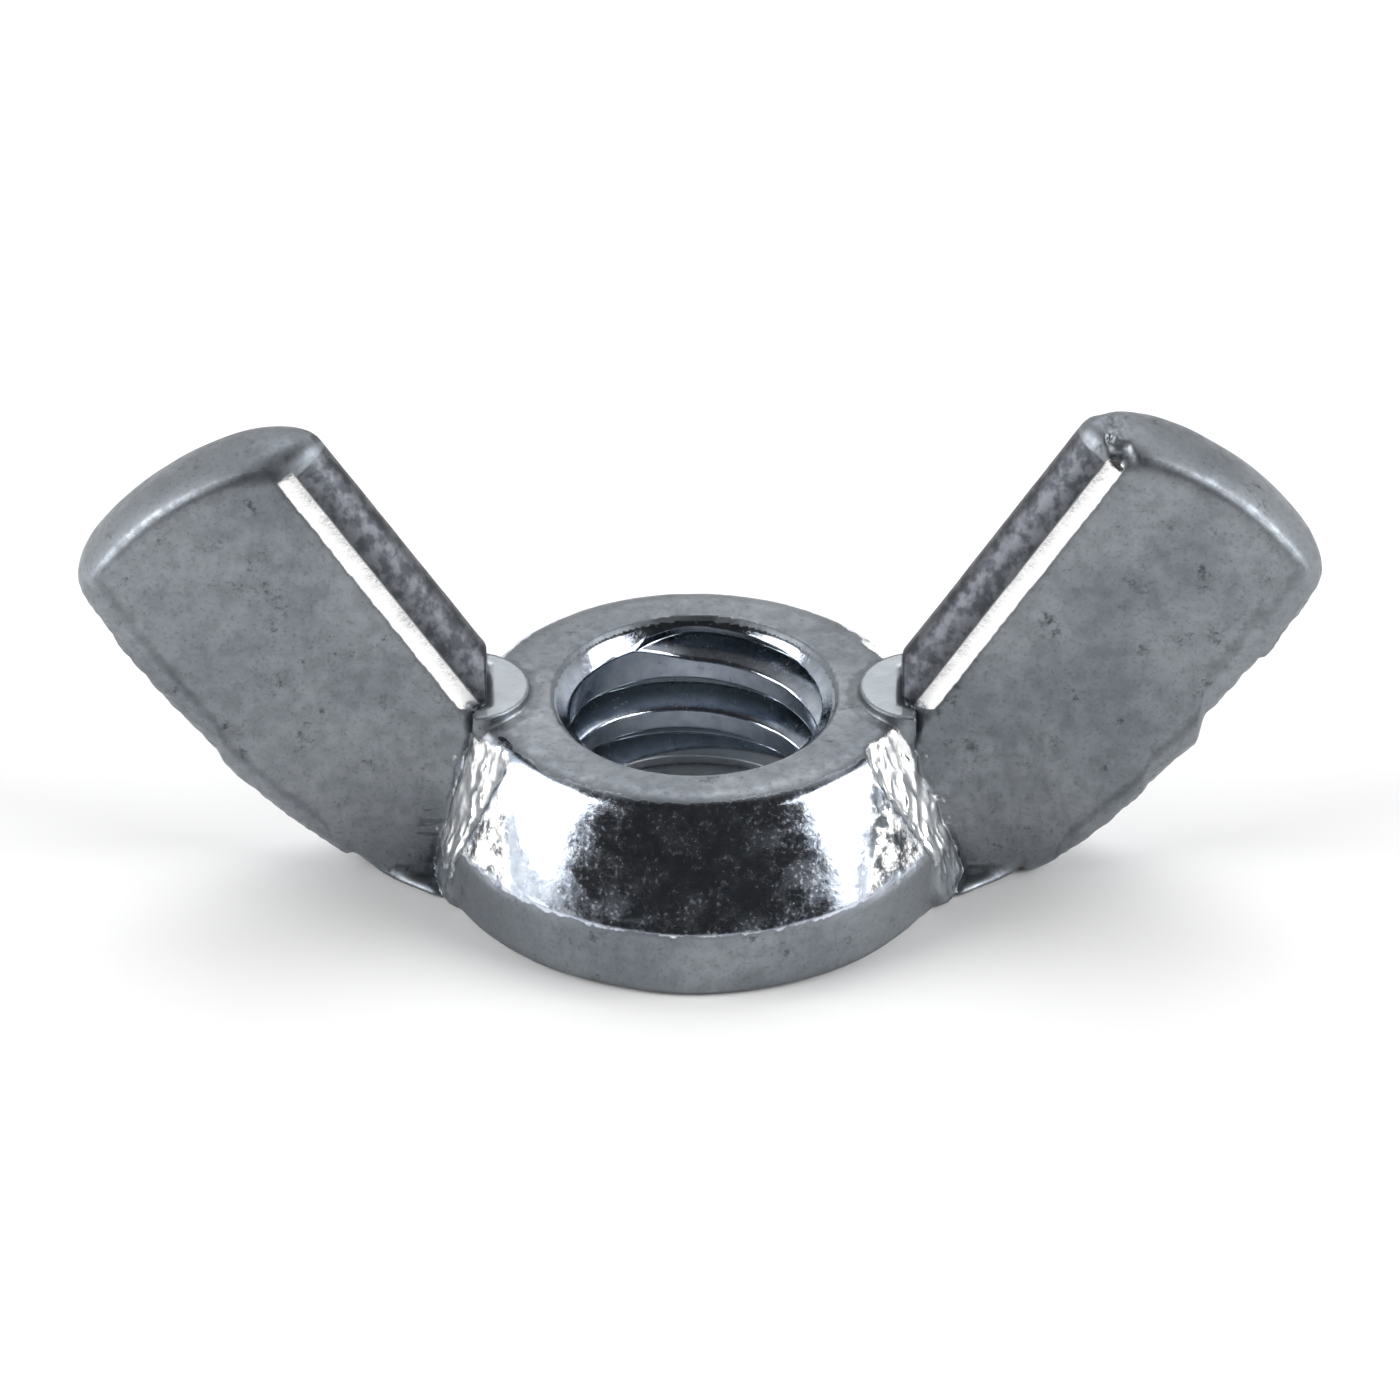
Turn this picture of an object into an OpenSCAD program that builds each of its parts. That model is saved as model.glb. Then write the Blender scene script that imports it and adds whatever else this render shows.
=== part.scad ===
// Cold-forged wing nut, 1/4-20 thread, two upswept wings on a conical boss.
// Origin: centre of the bearing face. X: along the wings. Z: up, along the threaded hole.

/* [Boss] */
// Height of the boss above its bearing face
boss_h = 3.97; // [3.5:0.01:5.6]
// Radius of the straight band at the foot of the boss
band_r = 5.4; // [5:0.01:6.3]
// Height of the straight band
band_h = 1.42; // [0.8:0.01:2]
// Radius of the flat ring at the top of the boss
ring_r = 3.83; // [3.3:0.01:4.5]
// Rounding of the foot of the band
foot_round = 0.2; // [0.1:0.05:0.5]
// Radius of the bulging wall between the band and the ring
wall_bulge_r = 7.5; // [4:0.1:20]

/* [Threaded hole] */
// Major radius of the thread
major_r = 3.175; // [3:0.005:3.5]
// Radius of the thread's crests
crest_r = 2.6; // [2.49:0.01:2.63]
// Pitch of the thread
pitch = 1.27; // [1:0.01:1.5]
// Radius of the countersink at the top of the boss
top_sink_r = 3.04; // [2.8:0.01:3.4]
// Radius of the countersink in the bearing face
bottom_sink_r = 3.3; // [2.8:0.01:3.6]

/* [Wings] */
// Thickness of a wing
wing_t = 2; // [1.6:0.05:3]
// Distance from the axis to the foot of a wing's inner edge
edge_x = 4.9; // [4.5:0.05:6]
// Height of the foot of a wing's inner edge
edge_z = 4; // [3:0.05:5]
// Angle of a wing's inner edge above level
edge_angle = 56.8; // [45:0.1:75]
// Length of the left wing's inner edge
edge_len_left = 7.6; // [6:0.05:9]
// Length of the right wing's inner edge
edge_len_right = 8.05; // [6:0.05:9]
// Fall of a wing's end below level
tip_angle = 38.5; // [25:0.5:55]
// Width of the left wing's end
tip_w_left = 4.9; // [3.5:0.05:6]
// Width of the right wing's end
tip_w_right = 5.05; // [3.5:0.05:6]
// Radius of the gently curved end of a wing
tip_r = 7.5; // [5:0.1:20]
// Distance from the axis to the heel, where a wing's lower edge meets the bearing face's level
heel_x = 6.7; // [5.5:0.05:8]
// Radius of a wing's curved lower edge
lower_r = 20; // [12:0.5:40]
// Radius of the crown across a wing's end and lower edge
rim_crown_r = 1.6; // [1.1:0.05:4]

/* [Wing roots] */
// Distance from the axis to the upright face where a wing starts
root_x = 4.32; // [4:0.01:4.8]
// Radius of the pad between the ring and a wing's inner edge
pad_r = 1.3; // [1:0.05:2]
// Distance from the axis to the middle of the pad
pad_x = 4.72; // [4:0.01:5.5]
// Height of the pad's flat top
pad_z = 4.2; // [4:0.01:5]
// Distance from the axis to the web's edge on a wing's face
web_wing_x = 5.5; // [5:0.05:7]
// Distance from the axis, along the wings, to the web's edge on the boss
web_boss_x = 4.8; // [3.5:0.05:5]
// Distance across the wings to the web's edge on the boss
web_boss_y = 2.3; // [1.5:0.05:3.5]
// Height of the web's foot
web_z = 0.2; // [0:0.05:1]
// Height of the web's top
web_top_z = 3.9; // [2:0.05:4]
// How far the web stands proud of the boss
web_proud = 0.3; // [0.1:0.05:0.8]
// Height of the heel, the wider foot where a wing's lower edge meets the band
heel_h = 0.5; // [0.3:0.05:1.4]

/* [Hidden] */
$fn = 96;
steel = [0.62, 0.64, 0.66];
// A short way past a surface, a long way past everything, and a bare overlap.
more = 1;
far = 40;
overlap = 0.01;
// The threaded sleeve's outer radius.
sleeve_r = major_r + 0.2;
// Where the boss's bulging wall meets the rounding of the ring.
ring_round = 0.12;
wall_top = [ring_r + ring_round, boss_h - ring_round];
sink_h_top = top_sink_r - crest_r;
sink_h_bottom = bottom_sink_r - crest_r;
// How far the wing's bar runs on below the foot of its inner edge.
edge_below = 8;
// How far the pad runs on under the wing.
pad_under_wing = 0.3;
// How much further out the web's face leans at its foot than at its top.
web_lean = 1;
// The heel's corners: on the boss, and how far its end is set in from the wing's.
heel_boss = [4.2, 3.2];
heel_inset = 0.1;
// The groove: slices in one turn, points along half of it, and the flat at its bottom as a
// share of half a pitch. It reaches a little inside the crests, so that its edges lie on the hole.
groove_steps = 16;
groove_points = 4;
groove_flat = 1 / 8;
groove_inside = 0.1;
groove_share = groove_flat + (major_r - crest_r + groove_inside) * 2 * tan(30) / pitch;
turns = ceil(boss_h / pitch) + 1;

// The middle of the circle of radius r through a and b, to the right of the way from a to b.
function arc_middle(a, b, r) =
    let (d = (b - a) / 2, half = norm(d), rise = sqrt(r * r - half * half))
    a + d + rise / half * [d.y, -d.x];

heel = [heel_x, 0];

function tip_in(length) = [edge_x, edge_z] + length * [cos(edge_angle), sin(edge_angle)];
function tip_out(length, width) = tip_in(length) + width * [cos(tip_angle), -sin(tip_angle)];

// Half of the boss's outline, without its hole.
module boss_outline() {
    wall_middle = arc_middle(wall_top, [band_r, band_h], wall_bulge_r);
    square([band_r - foot_round, band_h]);
    translate([0, foot_round]) square([band_r, band_h - foot_round]);
    translate([band_r - foot_round, foot_round]) circle(foot_round);
    intersection() {
        translate([0, band_h - overlap]) square([band_r, boss_h - band_h + overlap]);
        translate(wall_middle) circle(wall_bulge_r);
    }
}

module boss_solid() {
    rotate_extrude() intersection() {
        boss_outline();
        square([far, boss_h]);
    }
}

// The hole's countersinks, wide ends outwards.
module countersinks() {
    translate([0, 0, boss_h - sink_h_top])
        cylinder(r1 = crest_r, r2 = top_sink_r + more, h = sink_h_top + more);
    translate([0, 0, -more])
        cylinder(r1 = bottom_sink_r + more, r2 = crest_r, h = sink_h_bottom + more);
}

// The distance from the axis to the groove's wall, a given share of half a turn from its middle.
function groove_r(share) =
    major_r - max(0, share - groove_flat) * pitch / 2 / tan(30);

// The helical groove. Its section, the same at every height, turns once for each pitch:
// a wedge of the circle whose rim runs from the crest radius out to the major radius and back.
module groove() {
    translate([0, 0, -pitch / 2]) linear_extrude(
        height = turns * pitch, twist = -360 * turns, slices = turns * groove_steps, $fn = 8
    ) polygon(concat([[0, 0]], [
        for (step = [-groove_points:groove_points])
            let (part = step / groove_points * groove_share)
            groove_r(abs(part)) * [cos(180 * part), sin(180 * part)]
    ]));
}

module boss() {
    color(steel) difference() {
        boss_solid();
        translate([0, 0, -more]) cylinder(r = sleeve_r, h = boss_h + 2 * more);
    }
}

module thread() {
    color(steel) difference() {
        cylinder(r = sleeve_r, h = boss_h);
        translate([0, 0, -more]) cylinder(r = crest_r, h = boss_h + 2 * more);
        countersinks();
        groove();
    }
}

// A disc standing in the wing's plane, its rim crowned across the wing's thickness.
module crowned_disc(middle, r) {
    translate([middle.x, 0, middle.y]) rotate([90, 0, 0]) rotate_extrude() intersection() {
        union() {
            translate([0, -rim_crown_r]) square([r - rim_crown_r, 2 * rim_crown_r]);
            translate([r - rim_crown_r, 0]) circle(rim_crown_r);
        }
        translate([0, -far]) square([far, 2 * far]);
    }
}

// A flat bar with a half-round inner edge, running along that edge.
module bar() {
    translate([edge_x, 0, edge_z]) rotate([0, 90 - edge_angle, 0]) translate([0, 0, -edge_below])
        linear_extrude(height = edge_below + max(edge_len_left, edge_len_right) + more) union() {
            circle(wing_t / 2);
            translate([0, -wing_t / 2]) square([far, wing_t]);
        }
}

module blade(length, width) {
    out = tip_out(length, width);
    intersection() {
        bar();
        crowned_disc(arc_middle(out, heel, lower_r), lower_r);
        crowned_disc(arc_middle(tip_in(length), out, tip_r), tip_r);
        translate([root_x, -far / 2, 0]) cube(far);
    }
}

// The wider foot of a wing, level with the band.
module heel_block() {
    linear_extrude(height = heel_h) polygon([
        [0, -heel_boss.y],
        [heel_boss.x, -heel_boss.y],
        [heel_x - heel_inset, -wing_t / 2],
        [heel_x - heel_inset, wing_t / 2],
        [heel_boss.x, heel_boss.y],
        [0, heel_boss.y]
    ]);
}

// The bevelled webs beside a wing's root, thicker than the wing and a little proud of the boss.
module webs() {
    intersection() {
        translate([0, 0, web_z]) linear_extrude(height = boss_h) polygon([
            [0, -web_boss_y],
            [web_boss_x, -web_boss_y],
            [web_wing_x, -wing_t / 2],
            [web_wing_x, wing_t / 2],
            [web_boss_x, web_boss_y],
            [0, web_boss_y]
        ]);
        cylinder(r1 = band_r + web_proud + web_lean, r2 = ring_r + web_proud, h = web_top_z);
    }
}

// The pad, which ends under the wing.
module pad() {
    intersection() {
        translate([pad_x, 0, 0]) cylinder(r = pad_r, h = pad_z);
        translate([root_x + pad_under_wing - far, -far / 2, 0]) cube(far);
    }
}

// One wing, the right one's way round.
module wing(length, width) {
    difference() {
        union() {
            blade(length, width);
            pad();
            webs();
            heel_block();
        }
        boss_solid();
        translate([-far, -far / 2, 0]) cube(far);
    }
}

module wing_right() {
    color(steel) wing(edge_len_right, tip_w_right);
}

module wing_left() {
    color(steel) mirror([1, 0, 0]) wing(edge_len_left, tip_w_left);
}

boss();
thread();
wing_left();
wing_right();
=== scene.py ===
"""Wing nut: one zinc-plated forging, shown as a boss, a threaded sleeve and two wings.

The forging is described once, as a distance field in millimetres. Each piece is that field cut
to its own region and turned into a mesh, so the pieces meet without a visible seam.
"""
import math

import bpy
import numpy as np
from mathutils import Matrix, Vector


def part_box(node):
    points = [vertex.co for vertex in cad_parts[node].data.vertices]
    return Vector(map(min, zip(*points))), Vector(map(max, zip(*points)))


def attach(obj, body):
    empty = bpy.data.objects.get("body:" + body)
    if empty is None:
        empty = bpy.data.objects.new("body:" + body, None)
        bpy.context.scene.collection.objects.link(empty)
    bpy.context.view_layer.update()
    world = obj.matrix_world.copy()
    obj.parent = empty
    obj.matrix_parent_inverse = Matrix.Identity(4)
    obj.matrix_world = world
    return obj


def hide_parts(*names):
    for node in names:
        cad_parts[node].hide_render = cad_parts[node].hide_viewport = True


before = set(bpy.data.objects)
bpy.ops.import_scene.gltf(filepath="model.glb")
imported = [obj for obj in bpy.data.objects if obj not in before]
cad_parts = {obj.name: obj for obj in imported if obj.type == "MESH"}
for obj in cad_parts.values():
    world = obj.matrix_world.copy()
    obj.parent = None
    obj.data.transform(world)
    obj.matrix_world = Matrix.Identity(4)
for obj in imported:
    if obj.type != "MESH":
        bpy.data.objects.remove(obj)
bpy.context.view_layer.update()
MM = 0.001

# Sizes in millimetres, in part.scad's frame. First the boss, some of it from the CAD's boxes.
BOSS_LOW, BOSS_HIGH = (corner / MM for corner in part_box("boss"))
BOSS_H = BOSS_HIGH.z - BOSS_LOW.z
BAND_R = (BOSS_HIGH.x - BOSS_LOW.x) / 2
BAND_H = 1.42
RING_R = 3.92
RING_ROUND = 0.12
WALL_R = 9.5
WALL_FOOT_ROUND = 0.06
RING_BLEND = 0.3
FOOT_BLEND = 0.2
# The ring is longer along the wings than across them by this share, growing between two heights.
OVAL = 0.08
OVAL_Z = (1.6, 3.9)

# The wings.
HALF_T = 1.0
LOWER_CROWN_R = 1.6
END_CROWN_R = 2.1
TIP_R = 6.5
LOWER_R = 20.0
# How far the lower edge stands out beyond the arc from the heel to the end.
LOWER_OUT = 0.12
LOWER_ROUND = 0.45
CORNER_ROUND = 0.45
TIP_ROUND = 0.5
FACE_ROUND = 0.16
# Between these distances from the axis, the lower edge passes from smooth to ragged.
RAGGED_X = (6.2, 7.2)
FLASH_HALF = 0.1

# The wings' roots.
ROOT_X = 4.32
PAD_X = 4.72
PAD_R = 1.3
PAD_Z = 4.2
PAD_UNDER_WING = 0.3
WEB_TOP = 3.88
WEB_Y = 2.2
# The web's face turns towards the boss, by this angle in radians and by more higher up.
WEB_TURN = 0.28
WEB_TURN_RISE = 0.13
WEB_TURN_Z = (0.7, 3.5)
WEB_FOLDS = 0.08
WEB_PROUD = 0.02
# Across the wings, the web's cut into the boss fades out between these distances.
WEB_FADE_Y = (1.9, 2.7)
# The crease between a blade and its root: its width, its depth, and how it deepens with height.
CREASE_W = 0.16
CREASE_DEPTH = 0.05
CREASE_DEEPER = 0.09
CREASE_Z = (0.8, 2.4)
# How far towards the axis a wing reaches inside the boss.
WING_INSIDE_X = 2.0
# The top of a web slopes down across the wings from this height, along these shares of Y and Z.
SHOULDER_Z = 4.0
SHOULDER_SLOPE = (0.41, 0.91)
# A heel's side faces along these shares of X and Y.
HEEL_SLOPE = (0.59, 0.81)
HEEL_Y = 2.9
HEEL_H = 0.22

# A dent across the corner at the top of the right wing's inner edge, from one end to the other.
NICK = np.array([(8.92, -1.0, 10.38), (8.5, 0.4, 10.72)])
NICK_R = 0.32
NICK_DEPTH = 0.09

# Unevenness of the skin, and where the boss's wall is crumpled: along the wings and in height.
WAVES = 0.012
BUMPS = 0.005
CRUMPLES = 0.035
CRUMPLED_RIGHT_X = (3.4, 4.0)
CRUMPLED_LEFT_X = (3.7, 4.2)
CRUMPLED_LEFT = 0.6
CRUMPLED_FOOT_Z = (BAND_H - 0.1, BAND_H + 0.1)
CRUMPLED_TO_RING = (0.2, 0.5)

# Threaded hole.
MAJOR_R = 3.175
CREST_R = 2.6
PITCH = 1.27
GROOVE_FLAT = 1 / 8
# Where along the helix the groove starts, in turns, and how far it has to come out of the metal.
GROOVE_START = (3.24, 3.36)
GROOVE_SUNK = 0.7
TOP_SINK_R = 3.04
BOTTOM_SINK_R = 3.3
SLEEVE_R = 3.45
SLEEVE_LOW_Z = 0.06
BOSS_HOLE_R = 3.28
LIP = 0.15

# Painted light on an inner edge: the strip of painted highlight, and how far it and the band of
# painted shade beyond it stop short of the end.
STRIP_W = 0.36
STRIP_Y = 0.7
STRIP_TO_END = 0.4
BAND_TO_END = 0.5
# The line of painted highlight at an end, measured both ways from the corner, and where it stops.
RIM_HALF = (0.12, 0.09)
RIM_TO_EDGE = 0.5
RIM_TO_LOWER = 0.6
# Painted shade along the border of a face. Along the lower edge it fades in between two distances from
# the axis.
OUTLINE_HALF = 0.12
OUTLINE_TO_END = 0.15
OUTLINE_TO_LOWER = 0.33
OUTLINE_LOWER_X = (7.0, 7.8)
# The ring of painted shade round a pad.
PAD_BORDER = 0.14
PAD_BORDER_HALF = 0.17
# The painted highlight on the web beside a wing's face stops below the ring.
WEB_HIGHLIGHT_HALF = 0.12
WEB_HIGHLIGHT_TOP = 3.9
# The scratches beside the left web: how far they reach out and up.
SCUFF_OUT = 0.55
SCUFF_TOP = 2.0
# Where the crushed parts of the boss's wall start, towards the right and towards the left.
CRUSH_X = (3.55, 3.8)

# How the pieces overlap below the shared surface.
BOSS_CUT_R = 5.5
BOSS_CUT_Z = 4.08
WING_REACH = 0.25
WING_BELOW = 0.004

# Meshing: the fine grid's cell, fine cells to a coarse one, and the thread's points.
CELL = 0.064
COARSE = 3
THREAD_AROUND, THREAD_UP = ((480, 200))
CELL_CORNERS = [(i, j, k) for i in (0, 1) for j in (0, 1) for k in (0, 1)]
CELL_EDGES = [
    (a, b)
    for a in CELL_CORNERS
    for b in CELL_CORNERS
    if a < b and sum(abs(p - q) for p, q in zip(a, b)) == 1
]
NOISE_CELLS = 24
NOISE_TABLE = np.random.RandomState(11).uniform(-1, 1, (NOISE_CELLS, NOISE_CELLS, NOISE_CELLS))

# The kinds of finish, some of them painted highlights, painted shade or painted light. Each is a value
# at every point: how far inside that finish it is, in mm.
FINISHES = (
    "burnish", "crush", "strip", "edge", "rim", "outline", "scuff", "web_highlight", "pad", "groove", "sink"
)


def arc_middle(a, b, radius):
    """The middle of the circle of that radius through a and b, to the right of the way from a to b."""
    half = ((b[0] - a[0]) / 2, (b[1] - a[1]) / 2)
    length = math.hypot(*half)
    rise = math.sqrt(radius * radius - length * length) / length
    return a[0] + half[0] + rise * half[1], a[1] + half[1] - rise * half[0]


class WingShape:
    """One wing's outline in its plane, as if it pointed along +X."""

    def __init__(self, side, foot, angle, length, fall, width, heel_x, flash, web):
        """side is 1 or -1. foot, angle and length give the inner edge; fall and width give the end.

        heel_x is where the lower edge starts. flash is where, along X, it steps in by how much.
        web is how far out the web's foot is, and how far in it leans for each millimetre up.
        """
        self.side = side
        self.heel_x = heel_x
        self.web = web
        self.foot = foot
        self.along = (math.cos(math.radians(angle)), math.sin(math.radians(angle)))
        self.flash = flash
        fall = math.radians(fall)
        tip_in = (foot[0] + length * self.along[0], foot[1] + length * self.along[1])
        tip_out = (tip_in[0] + width * math.cos(fall), tip_in[1] - width * math.sin(fall))
        self.tip_middle = arc_middle(tip_in, tip_out, TIP_R)
        self.lower_middle = arc_middle(tip_out, (heel_x, 0), LOWER_R)

    def across(self, x, z):
        """How far a point is from the inner edge's line, towards the lower edge."""
        return (x - self.foot[0]) * self.along[1] - (z - self.foot[1]) * self.along[0]


RIGHT = WingShape(
    side=1,
    foot=(4.9, 4.06),
    angle=56.8,
    length=8.0,
    fall=41,
    width=5.25,
    heel_x=6.75,
    flash=((6.9, -0.26), (8.3, 0.06), (9.4, 0.12), (10.55, 0.3), (11.8, -0.08)),
    web=(5.74, 0.36),
)
LEFT = WingShape(
    side=-1,
    foot=(4.9, 4.22),
    angle=56.2,
    length=7.45,
    fall=38.5,
    width=5.0,
    heel_x=6.6,
    flash=((7.2, -0.12), (9.9, 0.14)),
    web=(5.58, 0.25),
)


def smooth_max(a, b, blend):
    """The larger of two distances, rounded where they are closer than blend."""
    mix = np.maximum(blend - np.abs(a - b), 0) / blend
    return np.maximum(a, b) + mix * mix * blend * 0.25


def smooth_min(a, b, blend):
    """The smaller of two distances, rounded where they are closer than blend."""
    return -smooth_max(-a, -b, blend)


def lumps(x, y, z, size, start=0.0):
    """Smooth noise from -1 to 1 whose lumps are about size across, one size or one for each axis."""
    sizes = size if isinstance(size, tuple) else (size, size, size)
    floors, shares = [], []
    for value, each in zip((x, y, z), sizes):
        scaled = value / each + 7.3 + start
        low = np.floor(scaled)
        part = scaled - low
        floors.append(low.astype(np.int32) % NOISE_CELLS)
        shares.append(part * part * (3 - 2 * part))
    total = 0
    for i, j, k in CELL_CORNERS:
        weight = 1
        for share, corner in zip(shares, (i, j, k)):
            weight = weight * (share if corner else 1 - share)
        place = tuple((low + corner) % NOISE_CELLS for low, corner in zip(floors, (i, j, k)))
        total = total + weight * NOISE_TABLE[place]
    return total


def ramp(value, low, high):
    """0 below low, 1 above high, and smooth between."""
    t = np.clip((value - low) / (high - low), 0, 1)
    return t * t * (3 - 2 * t)


def oval_r(x, y, z):
    """Distance from the axis, for a ring that is a little longer along the wings than across them."""
    return np.hypot(x * (1 - OVAL * ramp(z, *OVAL_Z)), y)


def boss_field(x, y, z):
    """The boss without its hole."""
    r = oval_r(x, y, z)
    middle = arc_middle((RING_R + RING_ROUND, BOSS_H - RING_ROUND), (BAND_R, BAND_H), WALL_R)
    wall = np.hypot(r - middle[0], z - middle[1]) - WALL_R
    side = smooth_max(r - BAND_R, wall, WALL_FOOT_ROUND)
    capped = smooth_max(side, z - BOSS_H, RING_BLEND)
    return smooth_max(capped, -z, FOOT_BLEND)


def crowned(x, y, z, middle, radius, crown):
    """A disc standing in the wing's plane, its rim crowned across the wing's thickness."""
    out = np.hypot(x - middle[0], z - middle[1]) - (radius - crown)
    return np.where(out > 0, np.hypot(out, y), out) - crown


def lower_edge(shape, x, y, z):
    """Distance beyond a wing's lower edge, which steps in and out where the dies met."""
    edge = crowned(x, y, z, shape.lower_middle, LOWER_R, LOWER_CROWN_R) - LOWER_OUT
    for place, step in shape.flash:
        edge = edge + step * ramp(x, place - FLASH_HALF, place + FLASH_HALF) * ramp(x, *RAGGED_X)
    return edge


def raggedness(x, y, z):
    """How far the lower edge is set in by its small lumps."""
    inset = 0.03 * lumps(x, y, z, (0.4, 1.2, 0.4)) + 0.02 * lumps(x, y, z, 0.14)
    return inset * ramp(x, *RAGGED_X)


def end_cap(shape, x, y, z):
    """Distance beyond a wing's gently curved end."""
    return crowned(x, y, z, shape.tip_middle, TIP_R, END_CROWN_R)


def blade_field(shape, x, y, z):
    """A blade: flat faces, an arched inner edge, a ragged round lower edge and a gently curved end."""
    across = shape.across(x, z)
    arch = (y * y - HALF_T ** 2 - across) / np.sqrt(1 + 4 * y * y)
    end = end_cap(shape, x, y, z)
    flat = np.abs(y) - HALF_T
    upper = smooth_max(smooth_max(arch, end, CORNER_ROUND), flat, FACE_ROUND)
    lower = smooth_max(lower_edge(shape, x, y, z) + raggedness(x, y, z), end, TIP_ROUND)
    return smooth_max(smooth_max(upper, lower, LOWER_ROUND), ROOT_X - x, 0.06)


def folds(x, y, z):
    """The crumpled metal's folds, from 0 upwards, longer up and down than across."""
    coarse = np.abs(lumps(x, y, z, (0.45, 0.45, 1.0), 3.1))
    return coarse + 0.6 * np.abs(lumps(x, y, z, (0.17, 0.17, 0.5)))


def web_face(shape, x, y, z):
    """The crumpled face that runs from a wing's face round to the boss's wall."""
    foot_x, lean = shape.web
    turn = WEB_TURN + WEB_TURN_RISE * (np.clip(z, *WEB_TURN_Z) - WEB_TURN_Z[0])
    flat = (x - foot_x + lean * z) * np.cos(turn) + (np.abs(y) - HALF_T) * np.sin(turn)
    return flat + WEB_FOLDS * folds(x, y, z) - WEB_PROUD


def web_field(shape, x, y, z):
    """The web of metal between a wing's face and the boss, with a sloping shoulder."""
    wide = np.abs(y)
    shoulder = (z - SHOULDER_Z) * SHOULDER_SLOPE[1] + (wide - HALF_T) * SHOULDER_SLOPE[0]
    top = smooth_max(shoulder, z - WEB_TOP, 0.1)
    return smooth_max(smooth_max(web_face(shape, x, y, z), top, 0.2), wide - WEB_Y, 0.4)


def pad_field(x, y, z):
    """The pad pressed flat between the ring and the foot of a wing's inner edge."""
    disc = np.maximum(np.hypot(x - PAD_X, y) - PAD_R, x - ROOT_X - PAD_UNDER_WING)
    return smooth_max(disc, z - PAD_Z, 0.05)


def heel_field(shape, x, y, z):
    """The low foot that spreads from a wing's face to the boss's band."""
    wide = np.abs(y)
    plan = (x - shape.heel_x + 0.05) * HEEL_SLOPE[0] + (wide - HALF_T) * HEEL_SLOPE[1]
    foot = smooth_max(smooth_max(plan, x - shape.heel_x, 0.4), wide - HEEL_Y, 0.3)
    return smooth_max(foot, z - HEEL_H, 0.3)


def creased_min(a, b, width, depth):
    """The smaller of two distances, with a crease of that width and depth where the surfaces meet."""
    nearness = np.maximum(1 - np.abs(a - b) / width, 0)
    return np.minimum(a, b) + depth * nearness * nearness


def wing_field(shape, x, y, z):
    """A wing, its heel, its web and its pad, creased where the blade meets the crumpled metal."""
    blade = smooth_min(blade_field(shape, x, y, z), heel_field(shape, x, y, z), 0.3)
    root = smooth_min(web_field(shape, x, y, z), pad_field(x, y, z), 0.1)
    crease = CREASE_DEPTH + CREASE_DEEPER * ramp(z, *CREASE_Z)
    joined = creased_min(blade, root, CREASE_W, crease)
    return smooth_max(np.maximum(joined, WING_INSIDE_X - x), -z, 0.12)


def on_both_sides(field, x, y, z):
    """A wing's field at each point, for the wing on the point's side."""
    distance = np.empty_like(x)
    for shape in (RIGHT, LEFT):
        mine = x * shape.side >= 0
        distance[mine] = field(shape, x[mine] * shape.side, y[mine], z[mine])
    return distance


def boss_web_face(shape, x, y, z):
    """The web's face as it cuts the boss, which it leaves alone further round."""
    return web_face(shape, x, y, z) - 0.5 * ramp(np.abs(y), *WEB_FADE_Y)


def nick_distance(x, y, z):
    """How far a point is from the line between the dent's ends."""
    way = NICK[1] - NICK[0]
    offsets = [value - start for value, start in zip((x, y, z), NICK[0])]
    share = np.clip(sum(o * w for o, w in zip(offsets, way)) / (way @ way), 0, 1)
    return np.sqrt(sum((o - share * w) ** 2 for o, w in zip(offsets, way)))


def dents(x, y, z):
    """How far the skin is set in: waves, small lumps, the nick and the wall's crumpled zones."""
    waves = WAVES + WAVES * lumps(x, y, z, 1.3) + BUMPS * lumps(x, y, z, 0.45)
    in_nick = ramp(NICK_R - nick_distance(x, y, z), 0, 0.3)
    nick = NICK_DEPTH * in_nick * (1 + 1.5 * lumps(x, y, z, 0.2))
    near_web = np.maximum(ramp(x, *CRUMPLED_RIGHT_X), CRUMPLED_LEFT * ramp(-x, *CRUMPLED_LEFT_X))
    crumpled = near_web * ramp(BOSS_H - z, *CRUMPLED_TO_RING) * ramp(z, *CRUMPLED_FOOT_Z)
    return waves + nick + CRUMPLES * crumpled * folds(x, y, z)


def forging_field(x, y, z):
    """The whole forging without its hole: distance to its surface, negative inside."""
    boss = smooth_max(boss_field(x, y, z), on_both_sides(boss_web_face, x, y, z), 0.06)
    return smooth_min(boss, on_both_sides(wing_field, x, y, z), 0.12) + dents(x, y, z)


def slopes(field, x, y, z, reach=0.01):
    """The field's gradient at each point."""
    gradient = [
        field(x + reach, y, z) - field(x - reach, y, z),
        field(x, y + reach, z) - field(x, y - reach, z),
        field(x, y, z + reach) - field(x, y, z - reach),
    ]
    return np.stack(gradient, axis=1) / (2 * reach)


def unit(vectors):
    """The vectors scaled to length 1."""
    return vectors / np.maximum(np.linalg.norm(vectors, axis=1, keepdims=True), 1e-9)


def grid_values(field, axes, step):
    """The field on a grid, found on a coarse grid first and then finely only near the surface."""
    coarse = field(*np.meshgrid(*[axis[::COARSE] for axis in axes], indexing="ij"))
    nearest = []
    for axis, count in zip(axes, coarse.shape):
        nearest.append(np.minimum((np.arange(len(axis)) + COARSE // 2) // COARSE, count - 1))
    values = coarse[np.ix_(*nearest)]
    near = np.nonzero(np.abs(values) < 1.5 * COARSE * step)
    values[near] = field(*[axis[place] for axis, place in zip(axes, near)])
    return values


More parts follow.
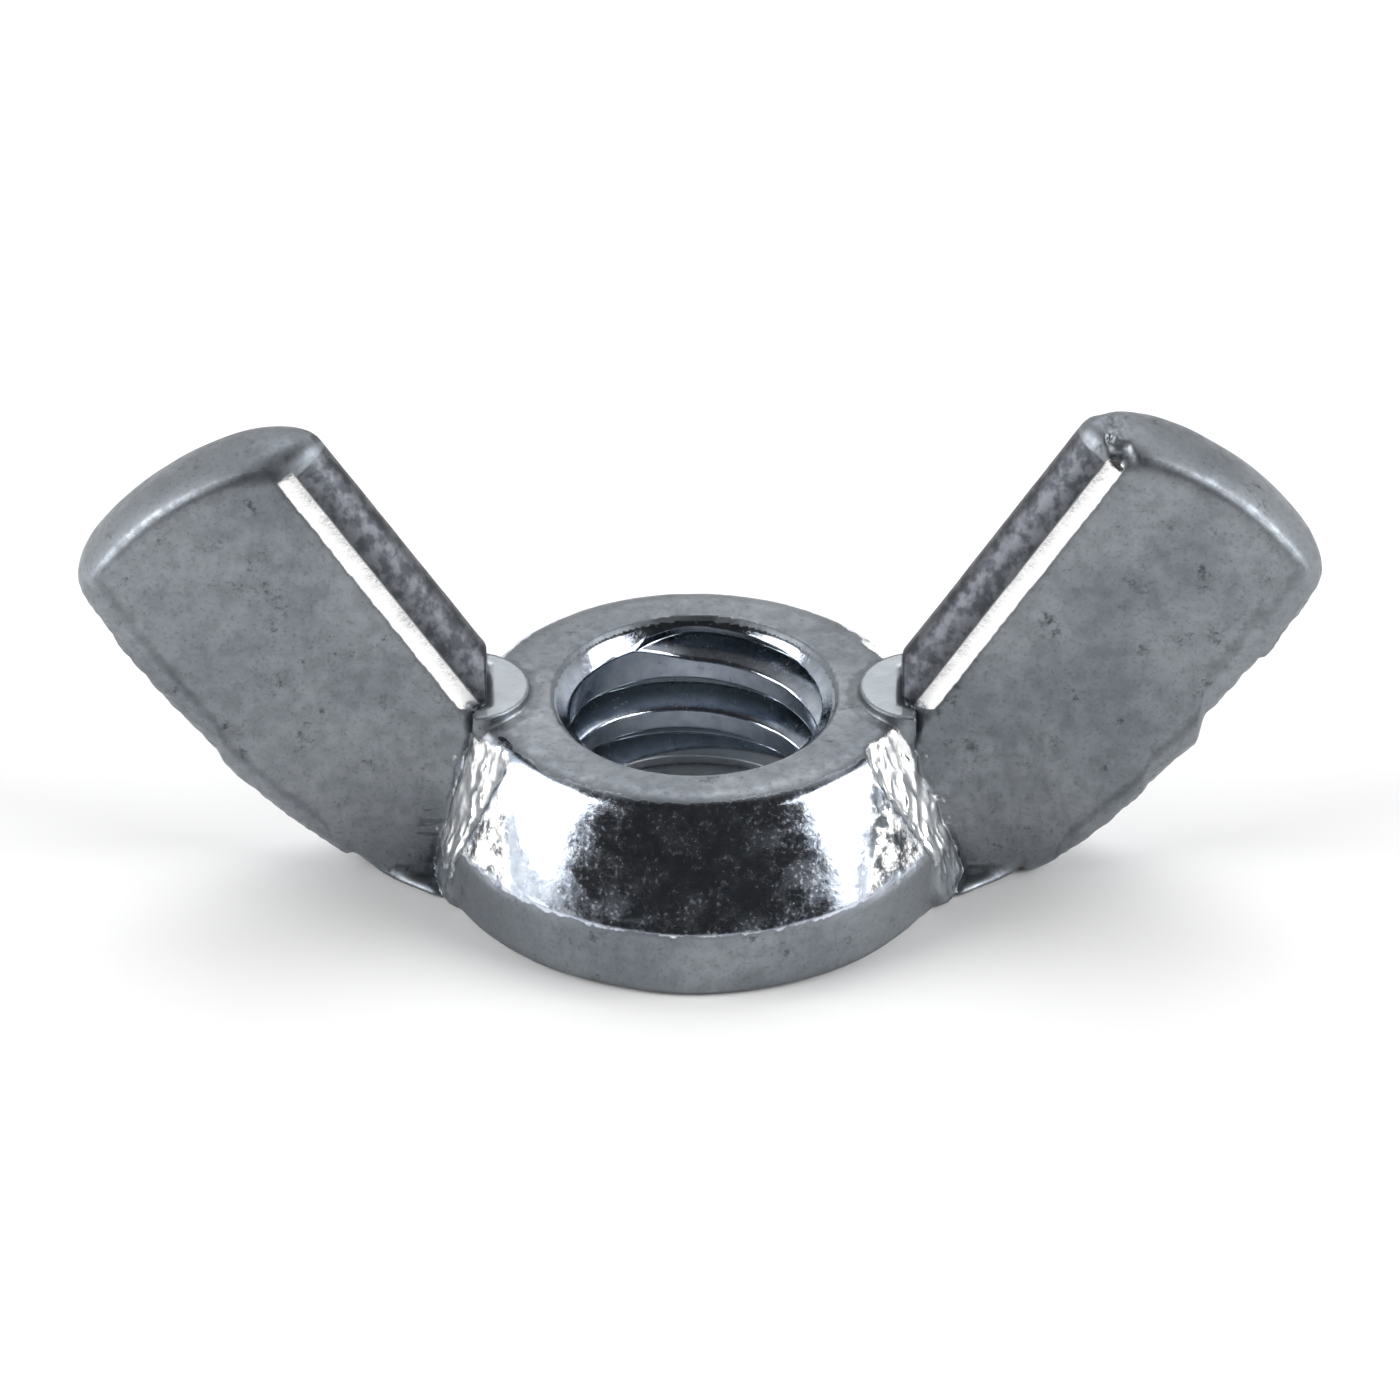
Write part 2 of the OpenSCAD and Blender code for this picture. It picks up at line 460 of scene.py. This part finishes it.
def surface_net(field, low, high, step):
    """The surface where field is zero: quads, and a point for each grid cell that it crosses."""
    axes = [np.arange(a - 2 * step, b + 3 * step, step) for a, b in zip(low, high)]
    values = grid_values(field, axes, step)
    cells = tuple(n - 1 for n in values.shape)

    def corner(offset):
        return values[tuple(slice(o, o + n) for o, n in zip(offset, cells))]

    inside_count = sum((corner(c) < 0).astype(np.int8) for c in CELL_CORNERS)
    crossed = (inside_count > 0) & (inside_count < 8)
    where = np.argwhere(crossed)
    number = np.full(cells, -1, np.int64)
    number[crossed] = np.arange(len(where))
    total = np.zeros((len(where), 3))
    hits = np.zeros(len(where))
    for a, b in CELL_EDGES:
        va, vb = corner(a)[crossed], corner(b)[crossed]
        cut = (va < 0) != (vb < 0)
        share = np.where(cut, va / np.where(cut, va - vb, 1), 0)
        place = np.array(a) + share[:, None] * (np.array(b) - np.array(a))
        total += place * cut[:, None]
        hits += cut
    points = (where + total / hits[:, None]) * step + np.array([a[0] for a in axes])
    return points, net_quads(values, number)


def net_quads(values, number):
    """A quad round each grid edge whose ends are on either side of the surface."""
    quads = []
    for axis in range(3):
        one, two = (axis + 1) % 3, (axis + 2) % 3
        start = [slice(1, -1)] * 3
        start[axis] = slice(0, -1)
        end = list(start)
        end[axis] = slice(1, None)
        a, b = values[tuple(start)] < 0, values[tuple(end)] < 0
        base = np.argwhere(a != b)
        leaving = a[tuple(base.T)]
        base = base + np.array([0 if n == axis else 1 for n in range(3)])
        ring = []
        for d_one, d_two in ((-1, -1), (0, -1), (0, 0), (-1, 0)):
            cell = base.copy()
            cell[:, one] += d_one
            cell[:, two] += d_two
            ring.append(number[tuple(cell.T)])
        ring = np.stack(ring, axis=1)
        ring[~leaving] = ring[~leaving][:, ::-1]
        quads.append(ring)
    return np.concatenate(quads)


def settle(field, points, rounds=3):
    """Moves the points onto the surface of the field."""
    for _ in range(rounds):
        x, y, z = points.T
        gradient = slopes(field, x, y, z)
        scale = np.maximum((gradient * gradient).sum(axis=1), 0.2)
        step = np.clip(field(x, y, z) / scale, -0.1, 0.1)
        points = points - gradient * step[:, None]
    return points


def new_object(name, points, faces, marks, normals=None):
    """A smooth mesh from points in millimetres. A finish that isn't in marks is nowhere on it."""
    mesh = bpy.data.meshes.new(name)
    mesh.from_pydata((points * MM).tolist(), [], faces.tolist())
    for label in FINISHES:
        values = marks.get(label, np.full(len(points), -1.0))
        mark = mesh.attributes.new(label, "FLOAT", "POINT")
        mark.data.foreach_set("value", np.clip(values, -1, 1).astype(np.float32))
    mesh.shade_smooth()
    if normals is not None:
        mesh.normals_split_custom_set_from_vertices(normals.tolist())
    piece = bpy.data.objects.new(name, mesh)
    bpy.context.scene.collection.objects.link(piece)
    return piece


def forged_piece(name, cut_field, low, high):
    """The part of the forging inside cut_field, with the forging's own normals.

    The mesh is open where the box from low to high cuts through the metal, as it does at the
    wings' heels, inside the boss. It isn't a clean solid: a few edges are shared by four faces.
    """
    points, quads = surface_net(cut_field, low, high, CELL)
    points = settle(cut_field, points)
    x, y, z = points.T
    on_skin = (np.abs(forging_field(x, y, z)) < 0.02)[:, None]
    skin = unit(slopes(forging_field, x, y, z))
    normals = np.where(on_skin, skin, unit(slopes(cut_field, x, y, z)))
    return new_object(name, points, quads, finish_marks(x, y, z), normals)


def highlight_strip_mark(shape, x, y, z):
    """A smooth white strip beside a wing's face, along its inner edge: a painted highlight."""
    across, end = shape.across(x, z), end_cap(shape, x, y, z)
    beside_face = np.minimum(np.minimum(-across, across + STRIP_W), np.abs(y) - STRIP_Y)
    return np.minimum(beside_face, np.minimum(-end - STRIP_TO_END, 2 * (z - PAD_Z)))


def edge_shade_mark(shape, x, y, z):
    """Painted shade on the top of a wing's inner edge, beyond the strip."""
    beyond_strip = -shape.across(x, z) - STRIP_W + 0.01
    short_of_end = -end_cap(shape, x, y, z) - BAND_TO_END
    return np.minimum(np.minimum(beyond_strip, short_of_end), 2 * (z - PAD_Z))


def rim_highlight_mark(shape, x, y, z):
    """The thin line of painted highlight between a wing's face and its end."""
    from_face, from_end = np.abs(HALF_T - np.abs(y)), np.abs(end_cap(shape, x, y, z))
    line = np.minimum(RIM_HALF[0] - from_face, RIM_HALF[1] - from_end)
    below_edge = shape.across(x, z) - RIM_TO_EDGE
    return np.minimum(line, np.minimum(below_edge, -RIM_TO_LOWER - lower_edge(shape, x, y, z)))


def border_shade_mark(shape, x, y, z):
    """The painted shade along the border of a wing's face."""
    end, lower = end_cap(shape, x, y, z), lower_edge(shape, x, y, z)
    # Near the boss there is no border along the lower edge.
    above_lower = -lower - OUTLINE_TO_LOWER + 1 - ramp(x, *OUTLINE_LOWER_X)
    inside = np.minimum(shape.across(x, z), np.minimum(-end - OUTLINE_TO_END, above_lower))
    return np.where(np.abs(y) > 0.8 * HALF_T, OUTLINE_HALF - np.abs(inside), -1)


def finish_marks(x, y, z):
    """How far inside each kind of finish a point of the forging is, in millimetres."""
    side = np.abs(x)
    boss = boss_field(x, y, z)
    nick = nick_distance(x, y, z)
    web = on_both_sides(boss_web_face, x, y, z)
    on_boss = np.minimum(on_both_sides(wing_field, x, y, z) - boss - 0.02, boss - web + 0.01)
    wall = np.minimum(np.minimum(oval_r(x, y, z) - RING_R - 0.02, z - BAND_H - 0.06), on_boss)
    beside_web = np.where(x > 0, x - CRUSH_X[0], -x - CRUSH_X[1])
    from_pad = np.hypot(side - PAD_X, y) - PAD_R
    beside_pad = np.minimum(z - BOSS_H + 0.15, ROOT_X + 0.1 - side)
    # Painted shade in a ring round each pad.
    pad_shade_ring = np.minimum(PAD_BORDER_HALF - np.abs(from_pad - PAD_BORDER), beside_pad)
    shade_borders = np.maximum(on_both_sides(border_shade_mark, x, y, z), pad_shade_ring)
    # Where the webs get a painted highlight, below the ring.
    webs = np.minimum(np.minimum(web - boss + 0.02, WEB_HIGHLIGHT_HALF - np.abs(web)), WEB_HIGHLIGHT_TOP - z)
    pads = np.minimum(np.minimum(z - PAD_Z + 0.04, ROOT_X - side), -from_pad - 0.08)
    return {
        "burnish": wall,
        "crush": np.minimum(wall, beside_web),
        "strip": np.minimum(on_both_sides(highlight_strip_mark, x, y, z), nick - 0.1),
        "edge": np.minimum(on_both_sides(edge_shade_mark, x, y, z), nick - 0.2),
        "rim": np.minimum(on_both_sides(rim_highlight_mark, x, y, z), nick - 0.1),
        # The outline mark is painted shade: along the faces' borders, round the pads and in the nick.
        "outline": np.maximum(shade_borders, 0.15 - nick),
        "scuff": np.minimum(np.minimum(SCUFF_OUT - web, web), np.minimum(SCUFF_TOP - z, -x)),
        "web_highlight": np.minimum(webs, np.abs(y) - HALF_T - 0.02),
        "pad": pads,
    }


def boss_cut(x, y, z):
    """The boss, with a lip at the top that holds the first of the hole's countersink."""
    r = np.hypot(x, y)
    sink = (TOP_SINK_R - BOSS_H + z - r) / math.sqrt(2)
    hole = np.maximum(np.minimum(BOSS_HOLE_R - r, BOSS_H - LIP - z), sink)
    outside = np.maximum(r - BOSS_CUT_R, z - BOSS_CUT_Z)
    return np.maximum(smooth_max(forging_field(x, y, z), hole, 0.05), outside)


def wing_cut(shape):
    """What is left of the forging beside the boss, a hair below the shared surface."""

    def cut(x, y, z):
        r = np.hypot(x, y)
        reach = np.maximum(wing_field(shape, x * shape.side, y, z) - WING_REACH, SLEEVE_R - r)
        return np.maximum(forging_field(x, y, z) + WING_BELOW, reach)

    return cut


def build_boss():
    """The boss, with a bore that the thread's sleeve fills."""
    low, high = (-BOSS_CUT_R, -BOSS_CUT_R, 0), (BOSS_CUT_R, BOSS_CUT_R, BOSS_CUT_Z)
    piece = forged_piece("boss_forging", boss_cut, low, high)
    return dress(piece, "boss", "burnished_zinc")


def build_wing(shape, name, node):
    """One wing with its web, its pad and its heel."""
    low, high = (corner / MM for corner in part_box(node))
    low, high = low - Vector((1.0, 1.0, 0.2)), high + Vector((1.0, 1.0, 0.3))
    piece = forged_piece(name, wing_cut(shape), low, high)
    return dress(piece, node, "forged_zinc")


def thread_r(angle, z):
    """The threaded hole's radius: a right-hand V groove between rounded crests.

    The groove starts from nothing in the top countersink, at the back left.
    """
    turn = z / PITCH - angle / (2 * math.pi) + 0.5
    from_groove = np.abs(turn - np.round(turn)) * 2
    rise = PITCH / 2 / math.tan(math.radians(30))
    groove = MAJOR_R - np.maximum(from_groove - GROOVE_FLAT, 0) * rise
    along = np.round(turn) + angle / (2 * math.pi)
    groove = groove - GROOVE_SUNK * ramp(along, *GROOVE_START)
    r = smooth_max(groove, np.full_like(groove, CREST_R), 0.06)
    top = TOP_SINK_R - (BOSS_H - z)
    bottom = BOTTOM_SINK_R - z
    return smooth_max(smooth_max(r, top, 0.05), bottom, 0.05)


def build_thread():
    """The hole's threaded wall, closed by an outer wall that lies inside the boss."""
    angle = np.linspace(0, 2 * math.pi, THREAD_AROUND, endpoint=False)
    top = BOSS_H - LIP + 0.05
    rows = [
        (SLEEVE_R, top),
        (SLEEVE_R, BOSS_H - 0.6),
        (SLEEVE_R - 0.05, 0.3),
        (BOTTOM_SINK_R + 0.1, SLEEVE_LOW_Z),
    ]
    for z in np.linspace(SLEEVE_LOW_Z, top, THREAD_UP):
        under_lip = 0.02 * ramp(z, BOSS_H - LIP, BOSS_H - LIP + 0.03)
        rows.append((thread_r(angle, np.full(THREAD_AROUND, z)) + under_lip, z))
    rings = []
    for r, z in rows:
        height = np.full(THREAD_AROUND, z)
        rings.append(np.stack([r * np.cos(angle), r * np.sin(angle), height], axis=1))
    points = np.concatenate(rings)
    index = np.arange(len(points)).reshape(len(rows), THREAD_AROUND)
    following = np.roll(index, -1, axis=1)
    above, above_next = np.roll(index, -1, axis=0), np.roll(following, -1, axis=0)
    quads = np.stack([index, above, above_next, following], axis=-1).reshape(-1, 4)
    # How far into the bottom countersink a point is; the sink finish paints light there.
    sink = BOTTOM_SINK_R - CREST_R - points[:, 2]
    # How deep in a groove a point is; the groove finish paints shade there.
    groove = np.hypot(points[:, 0], points[:, 1]) - CREST_R - 0.05
    marks = {"burnish": -sink, "sink": sink, "groove": np.minimum(groove, -sink)}
    piece = new_object("thread_sleeve", points, quads, marks)
    return dress(piece, "thread", "cut_thread")


def dress(piece, node, slot_name):
    """Gives the piece its material in a slot and its body, and hides the CAD part that it replaces."""
    piece.data.materials.append(MATERIALS[slot_name])
    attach(piece, "root")
    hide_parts(node)
    return piece


class Nodes:
    """A material's node tree, with short ways to add and join nodes."""

    def __init__(self, name):
        self.material = bpy.data.materials.new(name)
        self.material.use_nodes = True
        self.tree = self.material.node_tree
        self.shader = self.tree.nodes["Principled BSDF"]

    def add(self, kind, settings=None, **inputs):
        """A new node. Its inputs are numbers or other nodes' outputs, with _ for a space in a name."""
        node = self.tree.nodes.new(kind)
        for key, value in (settings or {}).items():
            setattr(node, key, value)
        for key, value in inputs.items():
            self.put(node.inputs[key.replace("_", " ")], value)
        return node

    def put(self, socket, value):
        """Links an output to the socket, or sets the socket's own value."""
        if isinstance(value, bpy.types.NodeSocket):
            self.tree.links.new(value, socket)
        else:
            socket.default_value = value

    def noise(self, scale, detail, roughness=0.55, vector=None):
        """Noise from 0 to 1. Without a vector it is fixed to the piece, scale lumps to the metre."""
        node = self.add("ShaderNodeTexNoise", Scale=scale, Detail=detail, Roughness=roughness)
        self.put(node.inputs["Vector"], vector or self.place())
        return node.outputs["Fac"]

    def place(self):
        """Where the point is on the piece, in metres."""
        return self.add("ShaderNodeTexCoord").outputs["Object"]

    def remap(self, value, low, high, to_low=0.0, to_high=1.0):
        """A smooth step of value, from to_low at low to to_high at high."""
        node = self.add("ShaderNodeMapRange", {"interpolation_type": "SMOOTHSTEP"})
        for key, number in zip(("Value", "From Min", "From Max", "To Min", "To Max"),
                               (value, low, high, to_low, to_high)):
            self.put(node.inputs[key], number)
        return node.outputs["Result"]

    def mix(self, share, a, b):
        """Mixes two colours. They are the Mix node's inputs 6 and 7, and its output 2."""
        node = self.add("ShaderNodeMix", {"data_type": "RGBA"})
        self.put(node.inputs[0], share)
        self.put(node.inputs[6], a)
        self.put(node.inputs[7], b)
        return node.outputs[2]

    def maths(self, operation, a, b):
        node = self.add("ShaderNodeMath", {"operation": operation})
        self.put(node.inputs[0], a)
        self.put(node.inputs[1], b)
        return node.outputs[0]

    def mark(self, name):
        """How far inside that finish the point is, in millimetres."""
        return self.add("ShaderNodeAttribute", {"attribute_name": name}).outputs["Fac"]

    def bump(self, height, strength, distance, normal=None):
        node = self.add("ShaderNodeBump", Strength=strength, Distance=distance, Height=height)
        if normal:
            self.put(node.inputs["Normal"], normal)
        return node.outputs["Normal"]


# Colours. A pair is mixed by a noise.
MATTE = ((0.202, 0.221, 0.244, 1), (0.280, 0.301, 0.326, 1))
# Dark stains and speckles on the plating, also used for painted shade along borders, round pads and in
# the nick.
STAIN_AND_SHADE = (0.08, 0.09, 0.10, 1)
BRIGHT = ((0.49, 0.55, 0.65, 1), (0.65, 0.70, 0.78, 1))
# White: painted highlight on the strips and the rims, and the pale speckles of crushed metal.
HIGHLIGHT_AND_SPECKLE_WHITE = (1.0, 1.0, 1.0, 1)
# Painted shade on the top of a wing's inner edge.
EDGE_SHADE = ((0.05, 0.054, 0.062, 1), (0.115, 0.12, 0.135, 1))
# Painted highlight on the webs.
WEB_HIGHLIGHT = ((0.70, 0.72, 0.73, 1), (1.0, 1.0, 1.0, 1))
PAD = (0.38, 0.41, 0.44, 1)
# Painted shade in the thread's grooves.
GROOVE_SHADE = (0.27, 0.31, 0.34, 1)
# Near-white: painted light on the bottom countersink, which the nut's own shadow keeps dark.
SINK_PAINTED_LIGHT = (0.95, 0.98, 1.0, 1)


def grey(level):
    """A plain number as a colour, for mixing."""
    return (level, level, level, 1)


class ZincNodes(Nodes):
    """A zinc material's node tree, with the noises and the finishes that its parts share."""

    def __init__(self, name, wear):
        """wear is how far, in millimetres, the borders between finishes wander."""
        super().__init__(name)
        self.broad = self.noise(300, 5)
        self.grain = self.noise(3500, 4)
        self.fine = self.noise(11000, 3)
        self.pits = self.noise(1500, 8, 0.75)
        self.ragged = self.maths("MULTIPLY", self.maths("SUBTRACT", self.grain, 0.5), wear)
        self.burnish = self.finish("burnish", -0.02, 0.02)
        self.crush = self.finish("crush", -0.05, 0.2)

    def finish(self, mark, low, high):
        """Where that finish is: from 0 where its mark is low to 1 where it is high."""
        return self.remap(self.maths("ADD", self.mark(mark), self.ragged), low, high)


def matte_colour(n):
    """Mottled plating with grain, pits and scratches, and painted shade along borders, round pads and
    in the nick.
    """
    stretched = n.add("ShaderNodeMapping", Vector=n.place(), Scale=(1500, 1500, 9000)).outputs[0]
    streaks = n.noise(1, 3, 0.5, stretched)
    # The outline finish is painted shade along the borders, round the pads and in the nick; the broad
    # noise varies how dark it is.
    dark = n.remap(n.broad, 0.3, 0.6, 0.7, 0.35)
    outline = n.maths("MULTIPLY", n.finish("outline", 0.0, 0.12), dark)
    scratched = n.remap(streaks, 0.54, 0.64, 0, 0.7)
    scuff = n.maths("MULTIPLY", n.finish("scuff", 0.0, 0.1), scratched)
    colour = n.mix(n.remap(n.broad, 0.38, 0.62), *MATTE)
    colour = n.mix(n.remap(n.grain, 0.3, 0.7, 0.0, 0.16), colour, STAIN_AND_SHADE)
    colour = n.mix(n.remap(n.fine, 0.5, 0.75, 0, 0.35), colour, STAIN_AND_SHADE)
    colour = n.mix(n.remap(n.pits, 0.57, 0.69), colour, STAIN_AND_SHADE)
    return n.mix(n.maths("MAXIMUM", outline, scuff), colour, STAIN_AND_SHADE)


def finishes_and_painted_light(n):
    """Each finish that lies over the matte one, with the painted highlights and painted shade: where
    it is, its colour and its roughness.
    """
    speckle = n.remap(n.pits, 0.44, 0.6, 0.0, 0.1)
    polish = n.maths("ADD", n.remap(n.fine, 0.48, 0.76, 0.1, 0.25), speckle)
    bright = n.mix(n.remap(n.grain, 0.3, 0.7), *BRIGHT)
    crushed = n.mix(n.remap(n.pits, 0.44, 0.56), STAIN_AND_SHADE, HIGHLIGHT_AND_SPECKLE_WHITE)
    # Painted shade: the thread darkens deeper in its grooves.
    thread = n.mix(n.remap(n.mark("groove"), 0.0, 0.4), bright, GROOVE_SHADE)
    edge = n.mix(n.remap(n.grain, 0.38, 0.62), *EDGE_SHADE)
    web_highlight = n.mix(n.remap(n.grain, 0.35, 0.6), *WEB_HIGHLIGHT)
    return [
        (n.burnish, n.mix(n.crush, thread, crushed), polish),
        # The strip is a painted highlight: white and smooth.
        (n.finish("strip", -0.02, 0.02), HIGHLIGHT_AND_SPECKLE_WHITE, grey(0.24)),
        # The edge finish is painted shade: dark and rough.
        (n.finish("edge", -0.02, 0.04), edge, grey(0.42)),
        # The rim finish is a painted highlight: white and smooth.
        (n.finish("rim", -0.01, 0.02), HIGHLIGHT_AND_SPECKLE_WHITE, grey(0.26)),
        # A painted highlight on the webs, pale and fairly smooth.
        (n.finish("web_highlight", -0.03, 0.03), web_highlight, grey(0.3)),
        (n.remap(n.mark("pad"), -0.015, 0.015), PAD, grey(0.34)),
        # The sink finish is painted light: near-white, to brighten the shadowed bottom countersink.
        (n.remap(n.mark("sink"), 0.0, 0.04), SINK_PAINTED_LIGHT, grey(0.4)),
    ]


def zinc_bumps(n):
    """Fine lumps, calmer where the metal is burnished and deeper where it is crushed."""
    calm = n.remap(n.burnish, 0.0, 1.0, 1.0, 0.3)
    bumps = n.bump(n.broad, 0.25, 0.0001)
    bumps = n.bump(n.grain, n.maths("MULTIPLY", calm, 0.25), 0.00002, bumps)
    bumps = n.bump(n.fine, n.maths("MULTIPLY", calm, 0.3), 0.00001, bumps)
    return n.bump(n.pits, n.remap(n.crush, 0.0, 1.0, 0.15, 0.9), 0.00004, bumps)


def zinc_material(name, wear):
    """Zinc plate on forged steel: matte blue-grey, and bright where a tool has burnished it, with
    painted highlights and painted shade.
    """
    n = ZincNodes(name, wear)
    colour = matte_colour(n)
    rough = n.remap(n.grain, 0.3, 0.7, 0.4, 0.56)
    for share, its_colour, its_rough in finishes_and_painted_light(n):
        colour = n.mix(share, colour, its_colour)
        rough = n.mix(share, rough, its_rough)
    n.put(n.shader.inputs["Base Color"], colour)
    n.put(n.shader.inputs["Roughness"], rough)
    n.put(n.shader.inputs["Normal"], zinc_bumps(n))
    n.shader.inputs["Metallic"].default_value = 1.0
    return n.material


def floor_material():
    """Matte near-white paper."""
    n = Nodes("pale_floor")
    speck = n.noise(40, 3)
    n.put(n.shader.inputs["Base Color"], n.mix(speck, (0.90, 0.90, 0.90, 1), (0.93, 0.93, 0.93, 1)))
    n.shader.inputs["Roughness"].default_value = 0.9
    return n.material


def build_floor():
    """A wide pale floor just below the bearing face."""
    half, below = 3.0, -0.00002
    corners = [(-half, -half, below), (half, -half, below), (half, half, below), (-half, half, below)]
    mesh = bpy.data.meshes.new("floor")
    mesh.from_pydata(corners, [], [(0, 1, 2, 3)])
    mesh.materials.append(floor_material())
    floor = bpy.data.objects.new("floor", mesh)
    bpy.context.scene.collection.objects.link(floor)


def build_world():
    """Soft studio surroundings, dark at the camera's side and pale behind."""
    world = bpy.data.worlds.new("studio")
    world.use_nodes = True
    bpy.context.scene.world = world
    tree = world.node_tree
    background = tree.nodes["Background"]
    place = tree.nodes.new("ShaderNodeTexCoord")
    split = tree.nodes.new("ShaderNodeSeparateXYZ")
    tree.links.new(place.outputs["Generated"], split.inputs[0])
    front = tree.nodes.new("ShaderNodeMapRange")
    front.interpolation_type = "SMOOTHSTEP"
    tree.links.new(split.outputs["Y"], front.inputs["Value"])
    for key, number in (("From Min", -0.2), ("From Max", 0.7), ("To Min", 0.028), ("To Max", 0.8)):
        front.inputs[key].default_value = number
    tree.links.new(front.outputs["Result"], background.inputs["Strength"])
    background.inputs["Color"].default_value = (1, 1, 1, 1)


def area_light(name, place, aim, width, height, power):
    """A softbox that faces aim."""
    lamp = bpy.data.lights.new(name, "AREA")
    lamp.shape = "RECTANGLE"
    lamp.size = width
    lamp.size_y = height
    lamp.energy = power
    thing = bpy.data.objects.new(name, lamp)
    thing.location = place
    thing.rotation_euler = (Vector(aim) - Vector(place)).to_track_quat("-Z", "Y").to_euler()
    bpy.context.scene.collection.objects.link(thing)


def build_lights():
    """Two softboxes a little in front of the sides, and one above the back."""
    aim = (0, 0, 0.004)
    for name, side in (("softbox_left", -1), ("softbox_right", 1)):
        area_light(name, (side * 0.487, -0.1, 0.235), aim, width=0.34, height=0.42, power=3.0)
    area_light("softbox_top", (0, 0.35, 0.55), aim, width=0.5, height=0.4, power=1.3)


def build_camera():
    """Looks along the axis of the photograph: level with neither wing nearer, from above the front."""
    elevation = math.radians(33.7)
    distance = 0.5
    frame_width = 0.02919
    aim = Vector((0.000115, 0, 0.00381))
    data = bpy.data.cameras.new("camera")
    data.sensor_width = 36
    data.lens = data.sensor_width * distance / frame_width
    data.clip_start = 0.01
    camera = bpy.data.objects.new("camera", data)
    camera.location = aim + distance * Vector((0, -math.cos(elevation), math.sin(elevation)))
    camera.rotation_euler = (aim - camera.location).to_track_quat("-Z", "Y").to_euler()
    bpy.context.scene.collection.objects.link(camera)
    bpy.context.scene.camera = camera


MATERIALS = {
    "burnished_zinc": zinc_material("burnished_zinc", 0.3),
    "forged_zinc": zinc_material("forged_zinc", 0.1),
    "cut_thread": zinc_material("cut_thread", 0.1),
}

build_camera()
build_boss()
build_wing(RIGHT, "wing_forging_right", "wing_right")
build_wing(LEFT, "wing_forging_left", "wing_left")
build_thread()
build_floor()
build_world()
build_lights()

bpy.context.scene.view_settings.view_transform = "Standard"
